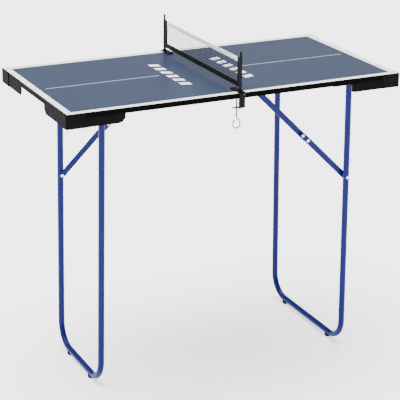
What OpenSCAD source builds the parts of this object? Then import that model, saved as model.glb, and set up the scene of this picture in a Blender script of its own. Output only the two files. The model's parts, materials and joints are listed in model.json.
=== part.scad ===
// Folding mini ping pong table: a blue board on two U-shaped tube frames that fold flat
// under it, one inside the other, with a net on two screw clamps.
// Z is up, X runs along the table, and the origin is on the floor under the table's centre.

/* [Table top] */
// Overall length over the edge bands
table_l = 900; // [750:5:1100]
// Overall width over the edge bands
table_w = 450; // [435:5:560]
// Height of the playing surface above the floor
table_h = 760; // [630:5:820]
// Thickness of the board
board_t = 13; // [10:0.5:15]
// Thickness of the plastic band on each edge of the board
band_t = 2; // [1.5:0.25:3]
// Depth of the groove along the middle of each band
groove_d = 0.6; // [0.2:0.1:1]
// Height of the groove along the middle of each band
groove_h = 1.6; // [1:0.2:3]
// Chamfer on the outer edges of each band
band_chamfer = 0.5; // [0.2:0.1:1]

/* [Court print] */
// Width of the border line
line_w = 18; // [10:1:22]
// Width of the centre line
centre_line_w = 3; // [2:0.5:5]
// Blank between the border line and the start of the centre line
centre_line_gap = 16; // [5:1:40]
// Distance from the net to the near side of the printed bars
bars_from_net = 74; // [60:1:110]
// Length of each printed bar, measured along the table
bar_print_l = 26; // [15:1:40]
// Width of each printed bar, measured across the table
bar_print_w = 20; // [10:1:26]
// Number of printed bars on each half
bar_print_n = 6; // [3:1:8]
// Distance from one printed bar to the next
bar_print_pitch = 37; // [30:1:44]
// Thickness of the printed film
print_t = 0.15; // [0.1:0.05:0.3]

/* [Corner mouldings] */
// How far the skirt hangs below the board
skirt_h = 22; // [14:1:26]
// Wall of the skirt
skirt_wall = 3; // [2:0.25:4]
// Length of the arms on the two mouldings with rounded ends
arm_round = 147; // [110:1:170]
// Length of the arms on the two mouldings with square ends
arm_square = 137; // [110:1:170]
// End radius of the rounded arms
arm_round_r = 18; // [8:1:19]
// End radius of the square arms
arm_square_r = 5; // [1:0.5:6]
// Length of the cap that covers the bands at each corner
cap_l = 48; // [30:1:70]
// How far the cap stands proud of the bands
cap_over = 1.5; // [1:0.25:3]
// Radius of the upright corner edge
cap_r = 4; // [2:0.5:8]
// Width of the flange that is screwed under the board
flange_w = 22; // [16:1:24]
// Thickness of the flange
flange_t = 3; // [2:0.5:4]
// Distance from an arm's end to its screw
arm_screw_in = 27; // [20:1:40]

/* [Leg frames] */
// Outer diameter of the leg tube
tube_d = 16; // [13:0.5:20]
// Wall of the leg tube
tube_wall = 1.2; // [0.9:0.1:2]
// Half width of the narrow frame, to the tube's centre
half_narrow = 139; // [110:1:145]
// Half width of the wide frame, to the tube's centre
half_wide = 184; // [180:1:187]
// Distance from the table's end to the leg pivots
pivot_in = 122; // [115:0.5:135]
// Depth of the leg pivots below the playing surface
pivot_drop = 24.5; // [24:0.5:30]
// Outward lean of the legs in use, in degrees
splay = 1; // [0.5:0.1:3]
// Centreline radius of the bends
bend_r = 60; // [45:1:75]
// How far the tube reaches past its pivot
tube_over = 5; // [4.5:0.1:6]

/* [Feet] */
// Diameter of a rubber foot
foot_d = 18; // [14:0.5:22]
// Height of the tube above the floor on its feet
foot_h = 6; // [4:0.5:10]
// How far each foot reaches up the sides of the tube
foot_wrap = 4; // [2:0.5:6]
// Distance from the start of the bend to the foot
foot_in = 6; // [0:1:40]
// Radius of the foot's lower edge
foot_r = 4; // [2:0.5:5.5]
// Diameter of the stem that plugs into the tube
foot_stem_d = 5; // [3:0.5:7]

/* [Leg pivots] */
// Diameter of the pivot bolts
bolt_d = 6; // [5:0.5:8]
// Radial clearance of a pin in its hole
pin_clear = 0.08; // [0.03:0.01:0.1]
// Thickness of the leg bracket's steel
bracket_t = 3; // [2:0.5:4]
// Reach of the bracket from the pivot towards the table's middle
bracket_in = 43; // [30:1:60]
// Reach of the bracket from the pivot towards the table's end
bracket_out = 14; // [10:1:20]
// Depth of the bracket's ear below the pivot
ear_below = 6.5; // [5:0.5:10]
// Width of the bracket's flange under the board
bracket_flange = 22; // [16:1:24]
// Corner radius of the bracket's ear
ear_r = 4; // [2:0.5:6]
// Thickness of the washer between tube and ear
washer_t = 0.7; // [0.5:0.1:1]
// Outer diameter of the washer
washer_d = 12; // [10:0.5:14]
// Side gap that keeps moving faces apart
side_gap = 0.3; // [0.2:0.05:0.5]

/* [Folding stays] */
// Distance from the leg pivot to the stay's rivet on the leg
stay_on_leg = 249.5; // [200:0.5:280]
// Extra distance from the leg pivot at which the stay hangs from the table
stay_extra = 0; // [0:0.5:20]
// Width of the stay's flat bars
stay_w = 15; // [12:0.5:15]
// Thickness of the stay's flat bars
stay_t = 2.5; // [1.5:0.25:2.5]
// Diameter of the stay's rivets
rivet_d = 5; // [4:0.5:6]
// Height of a rivet head
rivet_head_h = 1.6; // [1:0.1:1.6]
// Diameter of a rivet head
rivet_head_d = 9; // [8:0.5:9.5]
// Distance from the stay's middle rivet to its stop pin
stop_in = 21.5; // [16:0.5:28]
// Gap between the tube and the lower bar
stay_gap = 2.2; // [2:0.1:2.4]
// Gap between the two bars, which takes a rivet head from each side
bar_gap = 3.8; // [3.7:0.1:4.5]
// Length of the stay's bracket along the table
stay_bracket_l = 34; // [28:1:44]
// Width of the stay bracket's flange under the board
stay_flange = 17; // [15:1:20]

/* [Net clamps] */
// Width of the steel strip that each clamp is bent from
clamp_w = 16; // [10:0.5:18]
// Thickness of the clamp's steel
clamp_t = 3; // [2:0.25:3.5]
// Depth of the clamp's upper jaw from the table's edge
clamp_depth = 46; // [36:1:50]
// Depth of the clamp's lower jaw from the table's edge
clamp_low_depth = 38; // [34:1:50]
// Free height between the clamp's jaws
clamp_throat = 35; // [32:0.5:40]
// Slope of the clamp's lower jaw down towards its tip, in degrees
jaw_slope = 15; // [0:1:18]
// Outer bend radius of the clamp
clamp_r = 4; // [3:0.5:6]
// Distance from the table's edge to the clamp screw
screw_in = 25; // [18:0.5:25.5]
// Diameter of the clamp screw and its eye wire
screw_d = 4; // [3:0.5:5]
// Length of the screw below the clamp
screw_below = 38; // [15:1:46]
// Centreline radius of the screw's eye
eye_r = 9.5; // [7:0.5:14]
// Angle of the gap in the screw's eye, in degrees
eye_gap = 40; // [20:5:80]
// Diameter of the pressure pad
pad_d = 12; // [9:0.5:13]
// Thickness of the pressure pad
pad_t = 4; // [3:0.5:5]

/* [Net] */
// Diameter of the net rods
rod_d = 5.4; // [4:0.1:6]
// Height of the rods above the playing surface
rod_top = 100.5; // [90:0.5:150]
// Distance from the table's edge to the rods
rod_in = 8; // [6:0.5:14]
// Height of the rod's socket on the clamp
socket_h = 5; // [3:0.5:8]
// Height of the net's lower edge above the playing surface
net_bottom = 11; // [10:1:30]
// Height of the white tape's top above the playing surface
net_top = 84; // [70:1:130]
// Height of the white top tape
top_tape_h = 11; // [8:1:20]
// Height of the black bottom tape
bottom_tape_h = 13; // [8:1:20]
// Thickness of the tapes
tape_t = 2; // [1:0.25:3]
// Thickness of the netting
mesh_t = 1; // [0.6:0.1:1.5]
// Width of the side hems
hem_w = 13; // [8:1:25]
// How far the side hems stand above the white tape
hem_over = 1; // [0:1:8]
// Wall of the rod pocket in each hem
pocket_wall = 1.1; // [0.8:0.1:2]

/* [Screws] */
// Diameter of the wood screws
wood_screw_d = 3.5; // [3:0.25:4]
// Length of the wood screws in the board
wood_screw_l = 9; // [7:0.5:9.5]
// Diameter of the wood screws' heads
wood_head_d = 7; // [6:0.5:8]
// Height of the wood screws' heads
wood_head_h = 2.2; // [1.5:0.1:2.5]
// Diametral clearance of the screw holes in brackets and mouldings
hole_clear = 0.6; // [0.4:0.1:1]

/* [Hidden] */

$fn = 64;
EPS = 1; // how far a cutter reaches past what it cuts

BLUE_TOP = "#5f7189";
BLUE_TUBE = "#24409c";
BLACK = "#17181a";
WHITE = "#eef0f2";
STEEL = "#c9ccd0";

board_z = table_h - board_t; // underside of the board
pivot_x = table_l / 2 - pivot_in;
pivot_z = table_h - pivot_drop;
tube_r = tube_d / 2;
bar_z = foot_h + tube_r; // centre of the bottom bar
leg_l = (pivot_z - bar_z) / cos(splay); // pivot to bottom bar
bar_x = pivot_x + leg_l * sin(splay);
under = board_z - pivot_z; // from the pivots up to the board
pin_hole = 2 * pin_clear;

// The stay is straight in use and folds flat along the leg.
stay_u = stay_on_leg + stay_extra; // leg pivot to the stay's top rivet
rivet_x = pivot_x + stay_on_leg * sin(splay);
rivet_z = pivot_z - stay_on_leg * cos(splay);
top_x = pivot_x - stay_u;
stay_span = norm([rivet_x - top_x, pivot_z - rivet_z]);
stay_angle = atan2(pivot_z - rivet_z, rivet_x - top_x);
upper_l = (stay_span + stay_extra) / 2;
lower_l = (stay_span - stay_extra) / 2;
mid_x = top_x + upper_l * cos(stay_angle);
mid_z = pivot_z - upper_l * sin(stay_angle);
tail_l = stop_in + stay_w / 2 - 1; // the upper bar runs on past the stop pin

// Distances inwards from a leg tube's centreline, across the table.
lower_y = tube_r + stay_gap;
upper_y = lower_y + stay_t + bar_gap;
stay_ear_y = upper_y + stay_t + side_gap;
ear_y = tube_r + side_gap + washer_t;
bolt_head_h = 3.3;
bolt_head_d = 11;
nut_h = 5;
nut_d = 11.5; // across the corners
bolt_tip = 1; // thread past the nut

clamp_y = table_w / 2 + side_gap; // inner face of the clamp's back
rod_y = table_w / 2 - rod_in;
screw_y = table_w / 2 - screw_in;
jaw_z = table_h + print_t; // the upper jaw rests on the printed line
clamp_low = jaw_z - clamp_throat; // top of the clamp's lower jaw
eye_z = clamp_low - clamp_t - screw_below - eye_r;
hem_in = rod_y - rod_d / 2 - pocket_wall - hem_w; // inner edge of the hems
net_z = table_h + net_bottom;
tape_z = table_h + net_top - top_tape_h;

// ---------- small shapes ----------

// A bar lying along +X from the first hole to the last, with round ends.
module flat_bar(length, width) {
    circle(d = width);
    translate([0, -width / 2]) square([length, width]);
    translate([length, 0]) circle(d = width);
}

// A pan head or rivet head that stands up from z = 0, with a rounded rim.
module domed_head(d, h) {
    rim = min(h * 0.7, d / 4);
    rotate_extrude() {
        square([d / 2 - rim, h]);
        square([d / 2, h - rim]);
        translate([d / 2 - rim, h - rim])
            intersection() {
                circle(r = rim);
                square(rim);
            }
    }
}

// Turns +Z to point towards -Y for the front side (s = -1) or +Y for the back side (s = 1).
module outward(s) {
    rotate([-90 * s, 0, 0]) children();
}

// ---------- table top ----------

module table_board() {
    color(BLUE_TOP)
        translate([-table_l / 2 + band_t, -table_w / 2 + band_t, board_z])
            cube([table_l - 2 * band_t, table_w - 2 * band_t, board_t]);
}

// A slanted bar of the printed pattern, on the half given by side.
module print_bar(side, index) {
    across = (index - (bar_print_n - 1) / 2) * bar_print_pitch;
    lean = bar_print_w / 3;
    scale([side, 1])
        translate([bars_from_net, across * side])
            polygon([
                [0, -bar_print_w / 2 - lean / 2],
                [0, bar_print_w / 2 - lean / 2],
                [bar_print_l, bar_print_w / 2 + lean / 2],
                [bar_print_l, -bar_print_w / 2 + lean / 2]
            ]);
}

module court_print() {
    inner_l = table_l - 2 * line_w;
    inner_w = table_w - 2 * line_w;
    outer_l = table_l - 2 * band_t;
    outer_w = table_w - 2 * band_t;
    bars_end = bars_from_net + bar_print_l;
    line_from = bars_end + centre_line_gap;
    line_to = inner_l / 2 - centre_line_gap;
    color(WHITE)
        translate([0, 0, table_h])
            linear_extrude(print_t) {
                difference() {
                    square([outer_l, outer_w], center = true);
                    square([inner_l, inner_w], center = true);
                }
                for (side = [-1, 1]) {
                    translate([side * (line_from + line_to) / 2, 0])
                        square([line_to - line_from, centre_line_w], center = true);
                    for (index = [0 : bar_print_n - 1]) print_bar(side, index);
                }
            }
}

// A band of the given length along X, with its outer face towards +Y at y = 0.
module edge_band(length) {
    mid = board_t / 2;
    rotate([90, 0, 90])
        translate([0, 0, -length / 2])
            linear_extrude(length)
                polygon([
                    [-band_t, 0], [-band_chamfer, 0], [0, band_chamfer],
                    [0, mid - groove_h / 2], [-groove_d, mid], [0, mid + groove_h / 2],
                    [0, board_t - band_chamfer], [-band_chamfer, board_t], [-band_t, board_t]
                ]);
}

// The long bands run the whole length and the short ones fit between them.
module long_band(s) {
    color(BLACK)
        rotate([0, 0, s > 0 ? 0 : 180])
            translate([0, table_w / 2, board_z])
                edge_band(table_l);
}

module short_band(s) {
    color(BLACK)
        rotate([0, 0, -90 * s])
            translate([0, table_l / 2, board_z])
                edge_band(table_w - 2 * band_t);
}

// ---------- corner mouldings ----------

// Places of a corner's three screws, from the table's corner.
function corner_holes(arm) = [
    [-(flange_w + skirt_wall) / 2, -(flange_w + skirt_wall) / 2],
    [-arm + arm_screw_in, -(flange_w + skirt_wall) / 2],
    [-(flange_w + skirt_wall) / 2, -arm + arm_screw_in]
];

// An L of two strips of the given width along the two sides of the corner.
module corner_strip(arm, width) {
    difference() {
        translate([-arm, -arm]) square(arm);
        translate([-arm - EPS, -arm - EPS]) square(arm + EPS - width);
    }
}

// The cap's outline: a skin round the outside of the bands with a rounded corner.
module cap_outline() {
    difference() {
        union() {
            translate([-cap_l, -cap_l]) square([cap_l + cap_over - cap_r, cap_l + cap_over]);
            translate([-cap_l, -cap_l]) square([cap_l + cap_over, cap_l + cap_over - cap_r]);
            translate([cap_over - cap_r, cap_over - cap_r]) circle(r = cap_r);
        }
        translate([-cap_l - EPS, -cap_l - EPS]) square(cap_l + EPS);
    }
}

// What is taken off the lower end of the arm along X to round it.
module arm_end_cut(arm, r) {
    rotate([90, 0, 0])
        translate([-arm, -skirt_h])
            linear_extrude(3 * skirt_wall + flange_w, center = true)
                difference() {
                    translate([-EPS, -EPS]) square(r + EPS);
                    translate([r, r]) circle(r = r);
                }
}

// A corner moulding whose table corner is at x = y = 0, with the board's underside at z = 0.
module corner_moulding(arm, r) {
    difference() {
        union() {
            translate([0, 0, -skirt_h]) linear_extrude(skirt_h) corner_strip(arm, skirt_wall);
            translate([0, 0, -skirt_h]) linear_extrude(skirt_h + board_t) cap_outline();
            translate([0, 0, -flange_t]) linear_extrude(flange_t) corner_strip(arm, flange_w);
        }
        arm_end_cut(arm, r);
        mirror([1, -1, 0]) arm_end_cut(arm, r);
        for (hole = corner_holes(arm))
            translate([hole[0], hole[1], -flange_t - EPS])
                cylinder(d = wood_screw_d + hole_clear, h = flange_t + 2 * EPS);
    }
}

// Puts a corner moulding or its screws at the corner given by the signs sx and sy.
module at_corner(sx, sy) {
    scale_x = sx > 0 ? 0 : 1;
    scale_y = sy > 0 ? 0 : 1;
    translate([sx * table_l / 2, sy * table_w / 2, board_z])
        mirror([scale_x, 0, 0])
            mirror([0, scale_y, 0])
                children();
}

function corner_arm(sx, sy) = sx * sy > 0 ? arm_round : arm_square;

module corner(sx, sy) {
    color(BLACK)
        at_corner(sx, sy)
            corner_moulding(corner_arm(sx, sy), sx * sy > 0 ? arm_round_r : arm_square_r);
}

// A wood screw driven up into the board, with its head under a plate of the given thickness.
module wood_screw(plate_t) {
    rotate([180, 0, 0]) translate([0, 0, plate_t]) domed_head(wood_head_d, wood_head_h);
    translate([0, 0, -plate_t]) cylinder(d = wood_screw_d, h = plate_t + wood_screw_l);
}

module corner_screws() {
    color(STEEL)
        for (sx = [-1, 1], sy = [-1, 1])
            at_corner(sx, sy)
                for (hole = corner_holes(corner_arm(sx, sy)))
                    translate(hole) wood_screw(flange_t);
}

// ---------- leg brackets and pivots ----------

// Places the children at a leg pivot: side is -1 for the narrow frame's end of the table and
// 1 for the wide frame's, s is -1 for the front leg and 1 for the back leg. The children's
// +X points to the table's end and their +Y points inwards, across the table.
module at_leg(side, s) {
    half = side < 0 ? half_narrow : half_wide;
    translate([side * pivot_x, s * half, pivot_z])
        mirror([side < 0 ? 1 : 0, 0, 0])
            mirror([0, s > 0 ? 1 : 0, 0])
                children();
}

bracket_holes = [-bracket_in + 8, (bracket_out - bracket_in) / 2, bracket_out - 8];

// An L-shaped steel bracket: its ear hangs beside the tube, its flange is under the board.
module leg_bracket() {
    length = bracket_in + bracket_out;
    difference() {
        union() {
            translate([0, ear_y + bracket_t, 0])
                rotate([90, 0, 0])
                    linear_extrude(bracket_t)
                        difference() {
                            translate([-bracket_in, -ear_below]) square([length, under + ear_below]);
                            for (end = [-1, 1])
                                translate([end < 0 ? -bracket_in : bracket_out, -ear_below])
                                    difference() {
                                        square(2 * ear_r, center = true);
                                        translate([-end * ear_r, ear_r]) circle(r = ear_r);
                                    }
                        }
            translate([-bracket_in, ear_y, under - bracket_t])
                cube([length, bracket_flange, bracket_t]);
        }
        translate([0, ear_y - EPS, 0])
            rotate([-90, 0, 0])
                cylinder(d = bolt_d + pin_hole, h = bracket_t + 2 * EPS);
        for (x = bracket_holes)
            translate([x, ear_y + bracket_flange / 2 + bracket_t / 2, under - bracket_t - EPS])
                cylinder(d = wood_screw_d + hole_clear, h = bracket_t + 2 * EPS);
    }
}

module bracket(side, s) {
    color(BLACK) at_leg(side, s) leg_bracket();
}

module bracket_screws() {
    color(STEEL)
        for (side = [-1, 1], s = [-1, 1])
            at_leg(side, s)
                for (x = bracket_holes)
                    translate([x, ear_y + bracket_flange / 2 + bracket_t / 2, under])
                        wood_screw(bracket_t);
}

module pivot_bolts() {
    from = tube_r + side_gap;
    color(STEEL)
        for (side = [-1, 1], s = [-1, 1])
            at_leg(side, s) {
                translate([0, -from, 0])
                    rotate([90, 0, 0]) domed_head(bolt_head_d, bolt_head_h);
                translate([0, -from, 0])
                    rotate([-90, 0, 0])
                        cylinder(d = bolt_d, h = from + ear_y + bracket_t + nut_h + bolt_tip);
            }
}

module pivot_nuts() {
    color(STEEL)
        for (side = [-1, 1], s = [-1, 1])
            at_leg(side, s)
                translate([0, ear_y + bracket_t, 0])
                    rotate([-90, 0, 0])
                        difference() {
                            cylinder(d = nut_d, h = nut_h, $fn = 6);
                            translate([0, 0, -EPS])
                                cylinder(d = bolt_d + pin_hole, h = nut_h + 2 * EPS);
                        }
}

module pivot_washers() {
    color(WHITE)
        for (side = [-1, 1], s = [-1, 1])
            at_leg(side, s)
                translate([0, tube_r + side_gap, 0])
                    rotate([-90, 0, 0])
                        difference() {
                            cylinder(d = washer_d, h = washer_t);
                            translate([0, 0, -EPS])
                                cylinder(d = bolt_d + pin_hole, h = washer_t + 2 * EPS);
                        }
}

// ---------- leg frames ----------

module tube_ring(d) {
    difference() {
        circle(d = d);
        circle(d = d - 2 * tube_wall);
    }
}

// The bent tube in the plane x = 0, with its pivots at z = 0 and its bottom bar at -leg_l.
module bent_tube(half) {
    for (s = [-1, 1]) {
        translate([0, s * half, -leg_l + bend_r])
            linear_extrude(leg_l - bend_r + tube_over) tube_ring(tube_d);
        translate([0, s * (half - bend_r), -leg_l + bend_r])
            rotate([0, 90, 0])
                rotate([0, 0, s > 0 ? 0 : -90])
                    rotate_extrude(angle = 90) translate([bend_r, 0]) tube_ring(tube_d);
    }
    translate([0, 0, -leg_l])
        rotate([90, 0, 0])
            linear_extrude(2 * (half - bend_r), center = true) tube_ring(tube_d);
}

// Leans a leg outwards about its pivots, on the given end of the table.
module leaned(side) {
    translate([side * pivot_x, 0, pivot_z])
        mirror([side < 0 ? 1 : 0, 0, 0])
            rotate([0, -splay, 0])
                children();
}

function half_of(side) = side < 0 ? half_narrow : half_wide;

// The stay is on the back leg of the narrow frame and on the front leg of the wide frame.
function stay_side(side) = -side;

module leg_tube(side) {
    half = half_of(side);
    color(BLUE_TUBE)
        leaned(side)
            difference() {
                bent_tube(half);
                rotate([90, 0, 0])
                    cylinder(d = bolt_d + pin_hole, h = 2 * (half + tube_d), center = true);
                translate([0, stay_side(side) * half, -stay_on_leg])
                    rotate([90, 0, 0])
                        cylinder(d = rivet_d + pin_hole, h = 2 * tube_d, center = true);
                for (s = [-1, 1])
                    translate([0, s * (half - bend_r - foot_in), -leg_l])
                        rotate([180, 0, 0])
                            rotate([0, -splay, 0])
                                cylinder(d = foot_stem_d + pin_hole, h = tube_d);
            }
}

// Black plugs that close the tube's upper ends.
module leg_plugs(side) {
    bore = tube_d - 2 * tube_wall;
    color(BLACK)
        leaned(side)
            for (s = [-1, 1])
                translate([0, s * half_of(side), tube_over]) {
                    translate([0, 0, -tube_over + bolt_d / 2 + side_gap])
                        cylinder(d = bore - pin_hole, h = tube_over - bolt_d / 2 - side_gap);
                    domed_head(bore + tube_wall, tube_wall);
                }
}

// A rubber dome that hugs the underside of the bottom bar, with a stem in the tube.
module foot(side, s) {
    place = s * (half_of(side) - bend_r - foot_in);
    top = foot_h + foot_wrap;
    color(BLACK)
        translate([side * bar_x, place, 0]) {
            difference() {
                rotate_extrude() {
                    square([foot_d / 2 - foot_r, top]);
                    translate([0, foot_r]) square([foot_d / 2, top - foot_r]);
                    translate([foot_d / 2 - foot_r, foot_r]) circle(r = foot_r);
                }
                translate([0, 0, bar_z])
                    rotate([90, 0, 0]) cylinder(d = tube_d, h = 2 * foot_d, center = true);
            }
            translate([0, 0, foot_h - foot_stem_d / 4])
                cylinder(d = foot_stem_d, h = foot_stem_d / 4 + tube_wall + 2);
        }
}

// ---------- folding stays ----------

// Places a stay's pieces at the given point of its plane. The children's +X points to the
// table's end, their +Y is up and their +Z points inwards, away from the leg.
module at_stay(side, x, z, inwards) {
    s = stay_side(side);
    translate([side * x, s * (half_of(side) - inwards), z])
        mirror([side < 0 ? 1 : 0, 0, 0])
            mirror([0, s > 0 ? 1 : 0, 0])
                rotate([90, 0, 0])
                    mirror([0, 0, 1])
                        children();
}

// A rivet with a round head at each end; grip is the length between its heads.
module rivet(grip) {
    cylinder(d = rivet_d, h = grip);
    mirror([0, 0, 1]) domed_head(rivet_head_d, rivet_head_h);
    translate([0, 0, grip]) domed_head(rivet_head_d, rivet_head_h);
}

// The upper bar hangs from the table and runs on past the middle rivet to the stop pin, where
// a notch open on its lower side lets the pin in.
module stay_upper(side) {
    reach = upper_l + stop_in;
    color(BLUE_TUBE)
        at_stay(side, top_x, pivot_z, upper_y)
            rotate([0, 0, -stay_angle])
                linear_extrude(stay_t)
                    difference() {
                        flat_bar(upper_l + tail_l - stay_w / 2, stay_w);
                        circle(d = rivet_d + pin_hole);
                        translate([upper_l, 0]) circle(d = rivet_d + pin_hole);
                        translate([reach, 0]) circle(d = rivet_d + 2 * side_gap);
                        translate([reach, 0])
                            polygon([
                                [rivet_d / 2 + side_gap, 0],
                                [rivet_d / 2 + side_gap, -stay_w],
                                [-rivet_d / 2 - stay_w / 5, -stay_w],
                                [-rivet_d / 2 - side_gap, 0]
                            ]);
                    }
}

// The lower bar runs from the leg to the middle rivet.
module stay_lower(side) {
    color(BLUE_TUBE)
        at_stay(side, rivet_x, rivet_z, lower_y)
            rotate([0, 0, 180 - stay_angle])
                linear_extrude(stay_t)
                    difference() {
                        flat_bar(lower_l, stay_w);
                        circle(d = rivet_d + pin_hole);
                        translate([lower_l, 0]) circle(d = rivet_d + pin_hole);
                        translate([lower_l - stop_in, 0]) circle(d = rivet_d + pin_hole);
                    }
}

// The middle rivet's half that stays with the lower bar, with the spacer between the bars.
module stay_mid_rivet(side) {
    color(STEEL)
        at_stay(side, mid_x, mid_z, lower_y) {
            mirror([0, 0, 1]) domed_head(rivet_head_d, rivet_head_h);
            cylinder(d = rivet_d, h = stay_t);
            translate([0, 0, stay_t])
                cylinder(d = rivet_head_d, h = bar_gap - side_gap);
        }
}

// The middle rivet's far head and shank, which stay with the upper bar.
module stay_collar(side) {
    color(STEEL)
        at_stay(side, mid_x, mid_z, upper_y) {
            cylinder(d = rivet_d, h = stay_t);
            translate([0, 0, stay_t]) domed_head(rivet_head_d, rivet_head_h);
        }
}

module stay_stop_pin(side) {
    color(STEEL)
        at_stay(side, mid_x + stop_in * cos(stay_angle), mid_z - stop_in * sin(stay_angle), lower_y) {
            mirror([0, 0, 1]) domed_head(rivet_head_d, rivet_head_h);
            cylinder(d = rivet_d, h = stay_t + bar_gap - side_gap);
        }
}

// The rivet through the leg tube and the lower bar, with a spacer between them.
module stay_leg_rivet(side) {
    color(STEEL)
        at_stay(side, rivet_x, rivet_z, -tube_r) {
            rivet(tube_d + stay_gap + stay_t);
            translate([0, 0, tube_d]) {
                difference() {
                    cylinder(d = rivet_head_d, h = stay_gap - side_gap);
                    translate([0, 0, -tube_r])
                        rotate([0, 90, 0]) cylinder(d = tube_d, h = tube_d, center = true);
                }
            }
        }
}

stay_holes = [-stay_bracket_l / 2 + 7, stay_bracket_l / 2 - 7];

// The bracket under the board from which a stay hangs.
module stay_bracket(side) {
    ear_h = under + rivet_head_d / 2 + 1.5;
    color(BLACK)
        at_stay(side, top_x, pivot_z, stay_ear_y)
            difference() {
                union() {
                    linear_extrude(stay_t) {
                        circle(d = 2 * (ear_h - under));
                        translate([-ear_h + under, 0]) square([2 * (ear_h - under), under]);
                    }
                    translate([-stay_bracket_l / 2, under - stay_t, 0])
                        cube([stay_bracket_l, stay_t, stay_flange]);
                }
                translate([0, 0, -EPS])
                    cylinder(d = rivet_d + pin_hole, h = stay_t + 2 * EPS);
                for (x = stay_holes)
                    translate([x, under - stay_t - EPS, stay_flange / 2 + stay_t / 2])
                        rotate([-90, 0, 0])
                            cylinder(d = wood_screw_d + hole_clear, h = stay_t + 2 * EPS);
            }
}

module stay_bracket_screws() {
    color(STEEL)
        for (side = [-1, 1])
            at_stay(side, top_x, pivot_z, stay_ear_y)
                for (x = stay_holes)
                    translate([x, under, stay_flange / 2 + stay_t / 2])
                        rotate([-90, 0, 0]) wood_screw(stay_t);
}

module stay_top_rivet(side) {
    color(STEEL)
        at_stay(side, top_x, pivot_z, upper_y - side_gap / 2)
            rivet(stay_ear_y + stay_t - upper_y + side_gap / 2);
}

// ---------- net clamps ----------

// A clamp bent from strip: the upper jaw lies on the table, the lower one holds the screw.
module net_clamp(s) {
    back = clamp_depth + side_gap + clamp_t;
    reach = clamp_low_depth + side_gap + clamp_t;
    tall = clamp_throat + 2 * clamp_t;
    lip_r = clamp_t * cos(jaw_slope) / 2; // half the jaw's thickness
    slant = (reach - lip_r - clamp_r) / cos(jaw_slope); // length of the sloping jaw
    color(BLACK)
        difference() {
            translate([0, s * (clamp_y + clamp_t), clamp_low - clamp_t])
                rotate([0, 0, s > 0 ? 0 : 180])
                    rotate([0, -90, 0])
                        linear_extrude(clamp_w, center = true) {
                            difference() {
                                union() {
                                    translate([clamp_r, -back])
                                        square([tall - clamp_r, back - clamp_r]);
                                    translate([clamp_r, -back]) square([tall - 2 * clamp_r, back]);
                                    for (x = [clamp_r, tall - clamp_r])
                                        translate([x, -clamp_r]) circle(r = clamp_r);
                                }
                                translate([-EPS, -back - EPS])
                                    square([clamp_throat + clamp_t + EPS, back + EPS - clamp_r]);
                                translate([clamp_t, -clamp_r - EPS])
                                    square([clamp_throat, clamp_r + EPS - clamp_t]);
                            }
                            translate([clamp_t / 2, -clamp_r]) rotate(-jaw_slope) {
                                translate([-lip_r, -slant]) square([2 * lip_r, slant]);
                                for (y = [-slant, 0]) translate([0, y]) circle(r = lip_r);
                            }
                        }
            translate([0, s * screw_y, clamp_low - clamp_t - reach / 2])
                cylinder(d = screw_d + pin_hole, h = clamp_t + reach / 2 + EPS);
            translate([0, s * rod_y, jaw_z - EPS])
                cylinder(d = rod_d - 1, h = clamp_t + 2 * EPS);
        }
}

// A bright rivet near the top of each clamp's back.
module clamp_rivets() {
    color(STEEL)
        for (s = [-1, 1])
            translate([-s * clamp_w / 3, s * (clamp_y + clamp_t), table_h - board_t / 4])
                outward(s) domed_head(clamp_w / 5, clamp_t / 2);
}

// A net rod on its socket, with a peg in the clamp's upper jaw.
module net_rod(s) {
    jaw_top = jaw_z + clamp_t;
    color(BLACK)
        translate([0, s * rod_y, 0]) {
            translate([0, 0, jaw_z]) cylinder(d = rod_d - 1, h = clamp_t);
            translate([0, 0, jaw_top]) domed_head(rod_d + 3, socket_h);
            translate([0, 0, jaw_top])
                cylinder(d = rod_d, h = table_h + rod_top - rod_d / 2 - jaw_top);
            translate([0, 0, table_h + rod_top - rod_d / 2]) sphere(d = rod_d);
        }
}

// The pad at the screw's tip, which presses on the underside of the board.
module clamp_pad(s) {
    color(BLACK)
        translate([0, s * screw_y, board_z - side_gap / 3 - pad_t])
            difference() {
                rotate_extrude() {
                    square([pad_d / 2 - 1, pad_t]);
                    translate([0, 1]) square([pad_d / 2, pad_t - 1]);
                    translate([pad_d / 2 - 1, 1]) circle(r = 1);
                }
                translate([0, 0, -EPS]) cylinder(d = screw_d + pin_hole, h = pad_t / 2 + EPS);
            }
}

// The clamp screw: straight wire, with its lower end bent round to an open eye.
module clamp_screw(s) {
    tip_z = board_z - side_gap / 3 - pad_t / 2 - side_gap;
    turn = asin((eye_r / 2) / eye_r) + eye_gap;
    color(STEEL)
        translate([0, s * screw_y, 0]) {
            translate([0, 0, eye_z + eye_r]) cylinder(d = screw_d, h = tip_z - eye_z - eye_r);
            translate([0, 0, eye_z])
                rotate([90, 0, 0])
                    rotate([0, 0, 90 + turn])
                        rotate_extrude(angle = 360 - turn) translate([eye_r, 0]) circle(d = screw_d);
            translate([0, 0, eye_z + eye_r]) sphere(d = screw_d);
        }
}

// ---------- net ----------

module net_strip(z, h, t) {
    translate([-t / 2, -hem_in, z]) cube([t, 2 * hem_in, h]);
}

module net_mesh() {
    color("#3a3a44")
        net_strip(net_z + bottom_tape_h, net_top - net_bottom - top_tape_h - bottom_tape_h, mesh_t);
}

module net_top_tape() {
    color(WHITE) net_strip(tape_z, top_tape_h, tape_t);
}

module net_bottom_tape() {
    color(BLACK) net_strip(net_z, bottom_tape_h, tape_t);
}

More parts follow.
